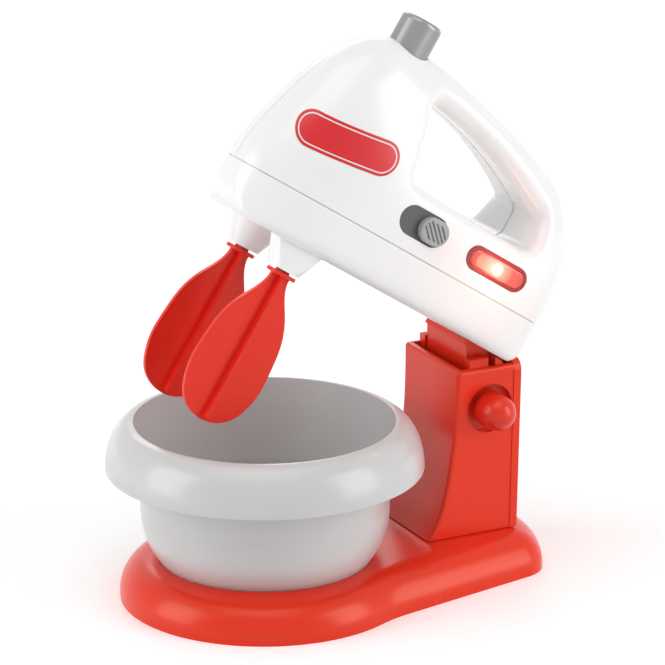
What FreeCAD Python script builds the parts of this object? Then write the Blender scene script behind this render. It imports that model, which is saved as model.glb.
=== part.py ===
import FreeCAD, Part
import math
import os

# Toy hand mixer on a tilting stand. Millimetres, +Z up, the mixer's nose towards -X.
# The origin lies on the floor, midway along the whole toy.
# The mixer is drawn level in its own head frame (u back, y right, w up, pivot at 0, 0, 0)
# and then tilted up about the pivot, which is how the toy is stored.

V = FreeCAD.Vector
UP = V(0, 0, 1)
ACROSS = V(0, 1, 0)
PARTS = "parts"

# Places on the stand
bowl_x = -35.7
pivot_x = bowl_x + 92.0
pivot_z = 86.0
tilt = 33.0

# Base
base_height = 17.0
base_wall = 2.2
base_bowl_r = 58.8
base_shoulder_r = 14.5
base_heel_r = 56.7
base_heel_x = bowl_x + 63.8
flank_y = 56.6
flank_slope = 0.2115
flank_blend_r = 60.0
heel_corner_r = 15.5
well_floor_z = 8.0

# Bowl
bowl_mouth_r = 52.6
bowl_rim_z = 73.7
bowl_wall = 2.0
skirt_r = 64.0
skirt_z = 54.6
bowl_foot_r = 33.0
bowl_lip_r = 43.2
bowl_waist_r = 50.1
bowl_waist_z = 40.0
well_clearance = 0.4

# Column
column_foot_z = 17.4
column_top_z = 88.5
column_front = 75.7
column_rear = 102.8
column_half = 23.2
column_foot_half = 20.9
column_wall = 2.5
column_edge_r = 1.6
back_t = 1.9
back_rise = 1.8
back_lip = 0.4
back_corner_r = 5.0
ear_front_x = bowl_x + 81.8
ear_inner_y = 16.7
ear_top_r = 6.0

# Tilt button in the column
button_x = bowl_x + 90.5
button_z = 71.0
recess_r = 10.3
recess_floor_y = 19.2
recess_wall = 1.1
press_room = 3.6
knob_r = 7.4
knob_out = 13.2
knob_wall = 1.4
stem_r = 3.0
guide_r = 5.0
guide_end_y = 13.8
spring_wire = 0.7
spring_turns = 5.0

# Cradle and axle
axle_r = 2.0
running_gap = 0.05
cradle_half = 16.4
cradle_wall = 2.0
hub_r = 5.6
latch_rib_y = 12.8
latch_rib_t = 2.0
latch_rib_r = 11.5
collar_r = 4.6
collar_t = 1.6
tongue_half = 12.7
tongue_front = -13.5
tongue_rear = 3.5
tongue_top = 16.0
tongue_gap = 0.3

# Mixer body, head frame
seam_w = 25.3
nose_u = -141.0
tail_u = 10.6
body_half = 31.0
nose_taper = 75.0
tail_taper = 19.5
belly_depth = 19.4
belly_w = 6.6
shell = 2.0
floor_w = 9.0
seam_groove = 0.4
groove_depth = 0.8
end_pull = 1.25

# Hole under the handle, head frame
hole_front_top = (-83.0, 81.3)
hole_front_low = (-80.0, 49.9)
hole_rear_low = (-14.4, 48.0)
hole_rear_top = (-14.4, 62.5)
grip_mid = (-43.5, 74.8)
hole_corner_r = 5.0
hole_edge_r = 6.0
hole_wall = 3.5
grip_hollow_half = 8.6
grip_low_w = 58.0
bead_half = 0.75
bead_depth = 0.7

# Nozzles, spindles and beaters, head frame
beater_u = -107.5
beater_y = 18.0
nozzle_top_r = 11.4
nozzle_end_r = 6.9
nozzle_end_w = -4.2
nozzle_bore_r = 5.0
nozzle_boss_w = 10.3
socket_flats = 6.0
shank_gap = 0.06
collar_disc_r = 6.2
disc_drop = 2.5
leaf_t = 1.8
leaf_half = 17.4
rib_reach = 4.0
leaf_low_w = -70.7

# Gears, head frame
gear_module = 1.0
drive_module = 0.75
spindle_teeth = 10
central_teeth = 26
large_teeth = 38
pinion_teeth = 10
gear_low_w = 10.7
upper_gear_w = 16.3
gear_t = 3.0
spindle_top_w = 10.2
socket_top_w = 8.0
plate_w = 20.0
plate_t = 2.0

# Motor and batteries, head frame
motor_r = 10.0
motor_flat = 7.6
motor_length = 22.5
battery_r = 7.25
battery_length = 50.5
battery_front = -71.8
battery_y = 7.6
battery_w = 16.4
partition_top = 24.0
contact_t = 0.5
door_half = 15.1
door_top = 8.3
door_screw_u = -79.5
door_head_w = 8.4

# Controls, head frame
top_button_u = -95.5
top_button_r = 8.75
top_button_top = 108.8
top_button_low = 91.0
flange_r = 10.2
flange_t = 1.5
shelf_w = 83.0
shelf_t = 2.0
switch_u = -68.2
switch_w = 37.3
switch_length = 23.5
switch_height = 12.0
switch_travel = 5.0
plate_face_y = -29.8
plate_flange_y = -27.8
cap_u = -63.5
cap_length = 13.5
cap_height = 10.6
cap_face_y = -33.0
stem_length = 3.2
lens_u = -28.5
lens_w = 36.7
lens_length = 31.0
lens_height = 10.0
bezel_face_y = -31.0
bezel_flange_y = -28.4
board_y = 24.0
board_t = 1.2
board_pin_u = -49.6
board_pin_w = (34.0, 40.5)
fit_gap = 0.15

# Screws
screw_r = 1.25
screw_head_r = 2.5
screw_head_t = 1.8
screw_hole_r = 1.3
post_r = 2.9
upper_post_w = 30.5
housing_head_w = 12.0
cross_head_y = 8.0
cross_bite = 8.0


def export(name, *solids):
    """Write one node: a single solid, or a group of like solids."""
    shape = solids[0] if len(solids) == 1 else Part.makeCompound(list(solids))
    shape.exportStep(os.path.join(PARTS, name + ".step"))


def block(x0, x1, y0, y1, z0, z1):
    return Part.makeBox(x1 - x0, y1 - y0, z1 - z0, V(x0, y0, z0))


def rod(radius, base, axis, length):
    return Part.makeCylinder(radius, length, base, axis)


def post(radius, x, y, z0, z1):
    return rod(radius, V(x, y, z0), UP, z1 - z0)


def cross_rod(radius, x, z, y0, y1):
    return rod(radius, V(x, y0, z), ACROSS, y1 - y0)


def polygon_face(points):
    return Part.Face(Part.makePolygon(points + [points[0]]))


def side_prism(outline, y0, y1):
    """Extrude a polygon of (x, z) points from y0 to y1."""
    face = polygon_face([V(x, y0, z) for x, z in outline])
    return face.extrude(V(0, y1 - y0, 0))


def stadium(x, z, length, height, y0, y1):
    """A slot shape with round ends, extruded along y."""
    r = height / 2.0
    reach = length / 2.0 - r
    middle = block(x - reach, x + reach, y0, y1, z - r, z + r)
    ends = [cross_rod(r, x + side * reach, z, y0, y1) for side in (-1, 1)]
    return middle.fuse(ends).removeSplitter()


def mirrored(shape):
    return shape.mirror(V(0, 0, 0), ACROSS)


def tilted(shape):
    """From the head frame to the stored, tilted-up place."""
    placed = shape.copy()
    placed.rotate(V(0, 0, 0), ACROSS, tilt)
    placed.translate(V(pivot_x, 0, pivot_z))
    return placed


def screw(x, y, z, length, axis=UP):
    """A screw whose head's underside is at x, y, z and whose shank runs along axis."""
    base = V(x, y, z)
    shank = rod(screw_r, base, axis, length)
    head = rod(screw_head_r, base - axis * screw_head_t, axis, screw_head_t)
    slot = Part.makeBox(2 * screw_head_r, 0.7, 1.4, V(-screw_head_r, -0.35, -0.7))
    turn = FreeCAD.Rotation(UP, axis)
    slot.Placement = FreeCAD.Placement(base - axis * screw_head_t, turn)
    return shank.fuse(head).cut(slot)


# Stand


def base_body(inset, height, shoulder):
    """The base's plan, stepped in by inset, with its rounded shoulder."""
    bowl_disc = post(base_bowl_r - inset, bowl_x, 0, 0, height)
    heel_r = base_heel_r - inset
    half = flank_y - inset * math.hypot(1, flank_slope)
    start = bowl_x
    run = base_heel_x - start
    # the flank line meets the heel circle where |(run + t, half - slope (run + t))| = heel_r
    a = 1 + flank_slope ** 2
    b = -2 * (run + flank_slope * half)
    c = run ** 2 + half ** 2 - heel_r ** 2
    along = (-b + math.sqrt(b * b - 4 * a * c)) / (2 * a)
    corner = V(start + along, half - flank_slope * along, 0)
    far = V(corner.x, -corner.y, 0)
    lines = [
        Part.LineSegment(V(start, -half, 0), far).toShape(),
        Part.Arc(far, V(base_heel_x + heel_r, 0, 0), corner).toShape(),
        Part.LineSegment(corner, V(start, half, 0)).toShape(),
        Part.LineSegment(V(start, half, 0), V(start, -half, 0)).toShape(),
    ]
    heel = Part.Face(Part.Wire(lines)).extrude(V(0, 0, height))
    body = bowl_disc.fuse(heel).removeSplitter()
    upright = [e for e in body.Edges if is_upright(e) and abs(e.Vertexes[0].Y) > 5]
    blends = [e for e in upright if e.Vertexes[0].X < bowl_x + base_bowl_r]
    body = body.makeFillet(flank_blend_r + inset, blends)
    corners = [e for e in body.Edges if is_upright(e) and abs(e.Vertexes[0].X - corner.x) < 0.01]
    body = body.makeFillet(heel_corner_r - inset, corners)
    top = [e for e in body.Edges if all(abs(v.Z - height) < 1e-6 for v in e.Vertexes)]
    return body.makeFillet(shoulder, top)


def is_upright(edge):
    if len(edge.Vertexes) < 2:
        return False
    a, b = edge.Vertexes[0].Point, edge.Vertexes[1].Point
    return abs(a.x - b.x) < 1e-6 and abs(a.y - b.y) < 1e-6 and abs(a.z - b.z) > 1


def turned(points, x):
    """Revolve a closed outline of edges in the XZ plane about the vertical axis at x."""
    face = Part.Face(Part.Wire(points))
    solid = face.revolve(V(0, 0, 0), UP, 360)
    solid.translate(V(x, 0, 0))
    return solid


def line(r0, z0, r1, z1):
    return Part.LineSegment(V(r0, 0, z0), V(r1, 0, z1)).toShape()


def arc(r0, z0, rm, zm, r1, z1):
    return Part.Arc(V(r0, 0, z0), V(rm, 0, zm), V(r1, 0, z1)).toShape()


def bowl_foot(grow):
    """Foot curve of the bowl, from its flat bottom to the lip of the base's well."""
    z0 = well_floor_z
    r0, r1 = bowl_foot_r + grow, bowl_lip_r + grow
    mid_r = r0 + 0.72 * (r1 - r0)
    mid_z = z0 + 0.34 * (base_height - z0)
    return r0, z0, mid_r, mid_z, r1, base_height


def column_screw_places():
    front, rear = bowl_x + 74.5, bowl_x + 96.5
    return [(x, side * 12.5) for x in (front, rear) for side in (-1, 1)]


def column_pad(inset, z0, z1):
    x0 = bowl_x + column_front - 8.0 + inset
    x1 = bowl_x + column_rear + back_t - 1.0 - inset
    y = column_foot_half - 1.0 - inset
    return block(x0, x1, -y, y, z0, z1)


def make_base():
    body = base_body(0, base_height, base_shoulder_r)
    body = body.fuse(column_pad(0, base_height - 4, column_foot_z))
    inner = base_body(base_wall, base_height - base_wall, base_shoulder_r - base_wall)
    cup = post(bowl_lip_r + base_wall + well_clearance, bowl_x, 0, well_floor_z - base_wall, base_height)
    body = body.cut(inner.cut(cup))
    r0, z0, rm, zm, r1, z1 = bowl_foot(well_clearance)
    well = turned([line(0, z0, r0, z0), arc(r0, z0, rm, zm, r1, z1), line(r1, z1, r1, z1 + 5),
                   line(r1, z1 + 5, 0, z1 + 5), line(0, z1 + 5, 0, z0)], bowl_x)
    body = body.cut(well)
    for x, y in column_screw_places():
        body = body.fuse(post(post_r + 0.8, x, y, base_height - 8, base_height - 1))
        body = body.cut(post(screw_hole_r, x, y, base_height - 9, column_foot_z + 1))
    return body.removeSplitter()


def ellipse_arc(r_mid, z_mid, reach, rise, z_end):
    """Piece of an upright quarter ellipse, from its outer end up to the height z_end."""
    def point(z):
        return V(r_mid + reach * math.sqrt(max(0.0, 1 - ((z - z_mid) / rise) ** 2)), 0, z)
    corner = V(r_mid, 0, z_mid)
    out, top = V(r_mid + reach, 0, z_mid), V(r_mid, 0, z_mid + rise)
    ellipse = Part.Ellipse(top, out, corner) if rise > reach else Part.Ellipse(out, top, corner)
    a, b = ellipse.parameter(out), ellipse.parameter(point(z_end))
    if (b - a) % (2 * math.pi) > math.pi:
        a, b = b, a
    return Part.ArcOfEllipse(ellipse, a, b).toShape()


def make_bowl():
    r0, z0, rm, zm, r1, z1 = bowl_foot(0)
    t = bowl_wall
    skirt_rise = bowl_rim_z - skirt_z
    reach = skirt_r - bowl_mouth_r
    root_r = bowl_mouth_r + t
    root_z = skirt_z + (skirt_rise - t) * math.sqrt(1 - (t / (reach - t)) ** 2)
    waist_mid_r = bowl_waist_r - 0.3 * (bowl_waist_r - r1)
    waist_mid_z = z1 + 0.38 * (bowl_waist_z - z1)
    return turned([
        line(0, z0, r0, z0),
        arc(r0, z0, rm, zm, r1, z1),
        arc(r1, z1, waist_mid_r, waist_mid_z, bowl_waist_r, bowl_waist_z),
        line(bowl_waist_r, bowl_waist_z, root_r, root_z),
        ellipse_arc(bowl_mouth_r, skirt_z, reach - t, skirt_rise - t, root_z),
        line(skirt_r - t, skirt_z, skirt_r, skirt_z),
        ellipse_arc(bowl_mouth_r, skirt_z, reach, skirt_rise, bowl_rim_z),
        line(bowl_mouth_r, bowl_rim_z, bowl_waist_r - t, bowl_waist_z),
        arc(bowl_waist_r - t, bowl_waist_z, waist_mid_r - t, waist_mid_z, r1 - t, z1 + 0.6),
        arc(r1 - t, z1 + 0.6, rm - 0.8 * t, zm + 0.8 * t, r0, z0 + t),
        line(r0, z0 + t, 0, z0 + t),
        line(0, z0 + t, 0, z0),
    ], bowl_x)


def column_shape(inset, rear_inset):
    """Column outline seen from the side, extruded and drawn in towards its foot."""
    flare = [(12.4, 0.0), (9.9, 3.4), (5.5, 14.6), (3.0, 27.6), (1.1, 44.6), (0.0, 71.1)]
    span = (column_top_z - column_foot_z) / flare[-1][1]
    front = bowl_x + column_front + inset
    points = [V(front - out, 0, column_foot_z + z * span) for out, z in flare]
    curve = Part.BSplineCurve()
    curve.interpolate(Points=points)
    rear_top = V(bowl_x + column_rear - rear_inset, 0, column_top_z)
    rear_foot = V(rear_top.x, 0, column_foot_z)
    wire = Part.Wire([
        curve.toShape(),
        Part.LineSegment(points[-1], rear_top).toShape(),
        Part.LineSegment(rear_top, rear_foot).toShape(),
        Part.LineSegment(rear_foot, points[0]).toShape(),
    ])
    face = Part.Face(wire)
    face.translate(V(0, -column_half - 1, 0))
    body = face.extrude(V(0, 2 * column_half + 2, 0))
    return body.common(column_sides(0, pivot_x * 3, -inset, column_top_z))


def column_sides(x0, x1, grow, z_top):
    """Slab across the column between its leaning sides, up to a height."""
    lean = (column_half - column_foot_half) / (column_top_z - column_foot_z)
    foot = column_foot_half + grow
    top = foot + lean * (z_top - column_foot_z)
    face = polygon_face([V(x0, -foot, column_foot_z), V(x0, foot, column_foot_z),
                         V(x0, top, z_top), V(x0, -top, z_top)])
    return face.extrude(V(x1 - x0, 0, 0))


def column_back():
    """Thin back panel, a little wider and taller than the column, with rounded corners."""
    x0 = bowl_x + column_rear - column_edge_r
    panel = column_sides(x0, bowl_x + column_rear + back_t, back_lip, column_top_z + back_rise)
    corners = [e for e in panel.Edges if abs(e.tangentAt(0).x) > 0.99 and e.CenterOfMass.z > column_top_z]
    panel = panel.makeFillet(back_corner_r, corners)
    rear = [e for e in panel.Edges
            if all(v.X > x0 + back_t for v in e.Vertexes) and e.CenterOfMass.z > column_foot_z + 1]
    return panel.makeFillet(back_t * 0.3, rear)


def ear(side):
    """Inner wall of the column that holds the axle, standing above the column's rim."""
    front = ear_front_x
    low = pivot_z - 9.0
    plate = side_prism([
        (front, low), (front, pivot_z + ear_top_r), (pivot_x, pivot_z + ear_top_r),
        (pivot_x, pivot_z), (pivot_x + ear_top_r, pivot_z), (pivot_x + ear_top_r, low)],
        ear_inner_y, column_half - column_wall + 0.3)
    hub = cross_rod(ear_top_r, pivot_x, pivot_z, ear_inner_y, column_half - column_wall + 0.3)
    plate = plate.fuse(hub)
    snap = 0.8 * axle_r
    plate = plate.cut(block(pivot_x - snap, pivot_x + snap, 0, 99, pivot_z, pivot_z + 9))
    plate = plate.cut(cross_rod(axle_r + 0.02, pivot_x, pivot_z, 0, axle_half() + 0.1))
    return plate if side > 0 else mirrored(plate)


def axle_half():
    return column_half - column_wall - 0.4


def make_column():
    outer = column_shape(0, 0)
    rim = [e for e in outer.Edges
           if e.CenterOfMass.z > column_top_z - 0.01 or (abs(e.CenterOfMass.y) > 18 and e.Length > 40)]
    outer = outer.makeFillet(column_edge_r, rim)
    hollow = column_shape(column_wall, column_wall - back_t)
    body = outer.fuse(column_back()).cut(hollow)
    body = body.fuse([ear(-1), ear(1)])
    wall_y = column_half - 0.6
    floor = cross_rod(recess_r + 1.2, button_x, button_z, -wall_y, -recess_floor_y + recess_wall)
    guide = cross_rod(guide_r, button_x, button_z, -recess_floor_y, -guide_end_y)
    body = body.fuse([floor.common(outer), guide])
    body = body.cut(cross_rod(recess_r, button_x, button_z, -column_half - 1, -recess_floor_y))
    body = body.cut(cross_rod(stem_r + running_gap, button_x, button_z, -column_half, 0))
    for x, y in column_screw_places():
        boss = post(post_r, x, y, column_foot_z, column_foot_z + 14)
        web_y = column_foot_half - column_wall / 2.0
        web = block(x - 0.8, x + 0.8, min(y, math.copysign(web_y, y)), max(y, math.copysign(web_y, y)),
                    column_foot_z, column_foot_z + 12)
        body = body.fuse([boss, web])
        body = body.cut(post(screw_hole_r, x, y, column_foot_z - 1, column_foot_z + 12))
    return body.removeSplitter()


def make_column_screws():
    head_z = base_height - 8
    return [screw(x, y, head_z, column_foot_z + 10 - head_z) for x, y in column_screw_places()]


def make_pivot_axle():
    half = axle_half()
    return cross_rod(axle_r, pivot_x, pivot_z, -half, half)


def knob_centre_y():
    """Place along y of the ball that ends the knob."""
    return -column_half - knob_out + knob_r


def knob_form(radius, open_y):
    """A round rod that ends in a ball on the outside."""
    ball = Part.makeSphere(radius, V(button_x, knob_centre_y(), button_z))
    return ball.fuse(cross_rod(radius, button_x, button_z, knob_centre_y(), open_y))


def make_tilt_button():
    """Hollow ball-ended knob with its stem and the thin tip that carries the collar."""
    open_y = -recess_floor_y - press_room
    knob = knob_form(knob_r, open_y).cut(knob_form(knob_r - knob_wall, open_y + 1))
    stem_end = collar_end_y() - collar_t
    stem_start = knob_centre_y() - knob_r + knob_wall / 2
    stem = cross_rod(stem_r, button_x, button_z, stem_start, stem_end)
    stem = stem.common(knob_form(knob_r - knob_wall / 2, stem_end))
    tip = cross_rod(stem_r - 1.0, button_x, button_z, stem_end - 1, stem_end + collar_t + 0.8)
    return knob.fuse([stem, tip]).removeSplitter()


def collar_end_y():
    return -latch_rib_y + latch_rib_t + 0.2 + collar_t


def make_latch_collar():
    y0 = collar_end_y() - collar_t
    ring = cross_rod(collar_r, button_x, button_z, y0, collar_end_y())
    return ring.cut(cross_rod(stem_r - 1.0 + 0.02, button_x, button_z, y0 - 1, y0 + collar_t + 1))


def make_button_spring():
    """Helical spring of square wire between the recess floor and the knob."""
    half = spring_wire / 2.0
    mid_r = 0.5 * (stem_r + knob_r - knob_wall)
    ceiling = knob_centre_y() - math.sqrt((knob_r - knob_wall) ** 2 - (mid_r + half) ** 2)
    length = -recess_floor_y - ceiling - spring_wire - 2 * fit_gap
    helix = Part.makeHelix(length / spring_turns, length, mid_r)
    corners = [(-half, -half), (half, -half), (half, half), (-half, half), (-half, -half)]
    section = Part.makePolygon([V(mid_r + a, 0, b) for a, b in corners])
    spring = Part.Wire(helix).makePipeShell([section], True, True)
    spring.rotate(V(0, 0, 0), V(1, 0, 0), 90)
    spring.translate(V(button_x, -recess_floor_y - half - fit_gap, button_z))
    return spring


# Cradle, head frame


def neck_outline():
    """The neck seen from the side: its front wall stands upright when the mixer is tilted up."""
    top = belly_w - 0.3
    slope = math.tan(math.radians(tilt))
    front = -15.2
    low = -6.0
    return front, top, low, front + (top - low) * slope


def make_cradle():
    front, top, low, low_front = neck_outline()
    t = cradle_wall
    rear = 5.5
    deck = block(front, rear, -cradle_half, cradle_half, top - t, top)
    wall = side_prism([(front, top), (low_front, low), (low_front + t, low), (front + t * 1.2, top)],
                      -cradle_half, cradle_half)
    body = deck.fuse(wall)
    cheek = side_prism([(front, top), (low_front, low), (0, -hub_r + 1), (rear, top - t), (rear, top)],
                       cradle_half - t, cradle_half)
    body = body.fuse([cheek, mirrored(cheek)])
    body = body.fuse(cross_rod(hub_r - 1.2, 0, 0, -cradle_half, cradle_half))
    body = body.fuse([cross_rod(hub_r, 0, 0, cradle_half - t, cradle_half),
                      cross_rod(hub_r, 0, 0, -cradle_half, -cradle_half + t)])
    body = body.fuse(make_latch_rib())
    tongue = block(tongue_front, tongue_rear, -tongue_half, tongue_half, top - t, tongue_top)
    long_edges = [e for e in tongue.Edges if e.CenterOfMass.z > top]
    tongue = tongue.makeFillet(1.2, long_edges)
    hollow = block(tongue_front + t, tongue_rear - t, -tongue_half + t, tongue_half - t,
                   top - t - 1, tongue_top - t)
    body = body.fuse(tongue).cut(hollow)
    body = body.cut(cross_rod(axle_r + running_gap, 0, 0, -cradle_half - 1, cradle_half + 1))
    return body.removeSplitter()


def make_latch_rib():
    """Sector with the two notches that the button's collar locks into."""
    y0, y1 = -latch_rib_y, -latch_rib_y + latch_rib_t
    far = 2 * latch_rib_r
    lean, rise = math.radians(-31.0), math.radians(45.0)
    sector = side_prism([(0, 2.0), (far * math.sin(lean), -far * math.cos(lean)),
                         (far * math.sin(rise), -far * math.cos(rise))], y0, y1)
    rib = cross_rod(latch_rib_r, 0, 0, y0, y1).common(sector)
    reach = math.hypot(button_x - pivot_x, button_z - pivot_z)
    for angle in (0.0, -tilt):
        down = math.radians(tilt + angle) + math.atan2(button_x - pivot_x, pivot_z - button_z)
        u, w = reach * math.sin(down), -reach * math.cos(down)
        rib = rib.cut(cross_rod(collar_r + 0.3, u, w, y0 - 1, y1 + 1))
    return rib


# Mixer body, head frame


# Side outline of the upper housing over the seam, nose to tail
crown = [(-137.8, 46.3), (-131.0, 65.8), (-121.5, 84.5), (-108.0, 95.3), (-93.5, 97.0),
         (-73.5, 95.8), (-53.5, 92.5), (-34.5, 88.5), (-16.5, 83.0), (1.2, 75.0),
         (10.1, 62.4), (12.6, 46.5)]
# How far before the tail's end the last place on that outline meets the seam
last_step = 0.7


def superellipse(x, power):
    return max(0.0, 1 - min(1.0, x) ** power) ** (1.0 / power)


def width_at(u):
    """Half width of the body at the seam."""
    if u < nose_u + nose_taper:
        return body_half * superellipse((nose_u + nose_taper - u) / nose_taper, 2.5)
    if u > tail_u - tail_taper:
        return body_half * superellipse((u - tail_u + tail_taper) / tail_taper, 2.6)
    return body_half


def keel_at(u):
    """Depth of the lower housing under the seam."""
    front, rear = 9.5, 10.0
    if u < nose_u + front:
        return belly_depth * superellipse((nose_u + front - u) / front, 2.0)
    if u > tail_u - rear:
        return belly_depth * superellipse((u - tail_u + rear) / rear, 2.0)
    return belly_depth


def station_steps(plan, crest):
    """Common parameters for the outlines, from their mean chord lengths."""
    steps = [0.0]
    for i in range(1, len(plan)):
        chord = (plan[i] - plan[i - 1]).Length + (crest[i] - crest[i - 1]).Length
        steps.append(steps[-1] + chord)
    return [value / steps[-1] for value in steps]


def body_skin(upper, inset):
    """Closed upper or lower body: one rounded surface for each side, over the seam plane."""
    mid = (nose_u + tail_u) / 2.0
    length, height = tail_u - nose_u, max(w for _, w in crown) - seam_w
    shrink_u, shrink_y = 1 - 2 * inset / length, 1 - inset / body_half
    tuck = (tail_u - last_step) / crown[-1][0]
    over = [nose_u] + [u for u, _ in crown] + [tail_u]
    seam = [nose_u] + [u * tuck if u > 0 else u for u, _ in crown] + [tail_u]
    heights = [0.0] + [w - seam_w for _, w in crown] + [0.0]
    plan = [V(u, -width_at(u), seam_w) for u in seam]
    steps = station_steps(plan, [V(u, 0, h) for u, h in zip(over, heights)])
    if upper:
        crest = [h * (1 - inset / height) for h in heights]
        side_pull, crest_pull, sign = 0.56, 0.58, 1
    else:
        over = seam
        crest = [-keel_at(u) * (1 - inset / belly_depth) for u in over]
        side_pull, crest_pull, sign = 1.12, 1.18, -1
    low = outline([V(mid + (p.x - mid) * shrink_u, p.y * shrink_y, seam_w) for p in plan], steps,
                  ACROSS * -1)
    high = outline([V(mid + (u - mid) * shrink_u, 0, seam_w + h) for u, h in zip(over, crest)], steps,
                   UP * sign)
    poles = []
    for a, b in zip(low.getPoles(), high.getPoles()):
        rise = b.z - seam_w
        poles.append([a, a + V(0, 0, side_pull * rise), b + V(0, crest_pull * a.y, 0), b])
    surface = Part.BSplineSurface()
    surface.buildFromPolesMultsKnots(poles, low.getMultiplicities(), [4, 4], low.getKnots(), [0.0, 1.0],
                                     False, False, low.Degree, 3)
    side = surface.toShape()
    lid_edge = low.toShape()
    lid = Part.Face(Part.Wire([lid_edge, mirrored(lid_edge)]))
    shell = Part.makeShell([side, mirrored(side), lid])
    shell.sewShape()
    solid = Part.Solid(shell)
    if solid.Volume < 0:
        solid.reverse()
    return solid


def outline(points, steps, way):
    """Spline through the points that leaves both ends squarely, as fast as its end chords."""
    def pull(i, j):
        return end_pull * (points[j] - points[i]).Length / (steps[j] - steps[i])
    curve = Part.BSplineCurve()
    curve.interpolate(Points=points, Parameters=steps, InitialTangent=way * pull(0, 1),
                      FinalTangent=way * -pull(-2, -1), Scale=False)
    return curve


def hole_prism(grow, half):
    """The finger hole's outline, grown all round, extruded across the body."""
    (u0, w0), (u1, w1) = hole_front_top, hole_front_low
    (u2, w2), (u3, w3) = hole_rear_low, hole_rear_top
    wire = Part.Wire([
        Part.LineSegment(V(u0, 0, w0), V(u1, 0, w1)).toShape(),
        Part.LineSegment(V(u1, 0, w1), V(u2, 0, w2)).toShape(),
        Part.LineSegment(V(u2, 0, w2), V(u3, 0, w3)).toShape(),
        Part.Arc(V(u3, 0, w3), V(grip_mid[0], 0, grip_mid[1]), V(u0, 0, w0)).toShape(),
    ])
    face = Part.Face(wire)
    face.translate(V(0, -half, 0))
    prism = face.extrude(V(0, 2 * half, 0))
    across = [e for e in prism.Edges if abs(e.tangentAt(e.FirstParameter).y) > 0.9]
    prism = prism.makeFillet(hole_corner_r, across)
    if grow == 0:
        return prism
    flat = [f for f in prism.Faces if abs(f.CenterOfMass.y + half) < 1e-6][0]
    grown = flat.makeOffset2D(grow)
    return grown.extrude(V(0, 2 * half, 0))


def rounded_upper():
    """Outer form of both upper halves, with the finger hole and its rounded rims."""
    hole = hole_prism(0, body_half + 5)
    body = body_skin(True, 0).cut(hole)
    walls = Part.makeShell([f for f in hole.Faces if abs(f.CenterOfMass.y) < 1])
    rims = [e for e in body.Edges if not e.Degenerated and is_rim(e, walls)]
    return body.makeFillet(hole_edge_r, rims)


def is_rim(edge, walls):
    """True for an edge that runs along the hole's walls on either side of the body."""
    for part in (0.3, 0.5, 0.7):
        spot = edge.valueAt(edge.FirstParameter + part * (edge.LastParameter - edge.FirstParameter))
        if abs(spot.y) < 5 or walls.distToShape(Part.Vertex(spot))[0] > 1e-3:
            return False
    ends = [v.Point for v in edge.Vertexes]
    return (ends[0] - ends[-1]).Length < 1e-6 or ends[0].y * ends[-1].y > 0


def body_slab(half, w0, w1):
    return block(nose_u - 5, tail_u + 5, -half, half, w0, w1)


def seam_cut(upper):
    """Thin groove along the seam between the upper and lower housing."""
    reach = seam_groove / 2.0 if upper else -seam_groove / 2.0
    slab = body_slab(body_half + 5, min(seam_w, seam_w + reach), max(seam_w, seam_w + reach))
    return slab.cut(body_skin(upper, groove_depth))


def middle_cut():
    """Finer groove where the two upper halves meet."""
    return body_slab(seam_groove / 3.0, seam_w - 1, 120).cut(body_skin(True, groove_depth * 0.75))


def grip_cheeks():
    """Thicker walls either side of the grip's hollow, behind the rounded rims of the hole."""
    band = hole_prism(hole_wall + hole_edge_r, body_half + 5)
    return band.cut([body_slab(grip_hollow_half, 0, 120), body_slab(body_half + 9, 0, grip_low_w)])


def upper_form():
    """Both upper halves in one: outer form, and the same hollowed and grooved."""
    outer = rounded_upper()
    cavity = body_skin(True, shell).cut([hole_prism(hole_wall, body_half + 5), grip_cheeks()])
    bead = hole_prism(bead_depth, bead_half)
    return outer, outer.cut([cavity, seam_cut(True), bead, middle_cut()])


def housing_screw_places():
    return [(u, side * y) for u, y in ((-130.0, 7.0), (-56.0, 20.0), (-2.0, 20.0)) for side in (-1, 1)]


def cross_screw_places():
    return [(-120.0, 62.0), (-3.0, 56.0), (-50.0, 85.0)]


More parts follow.
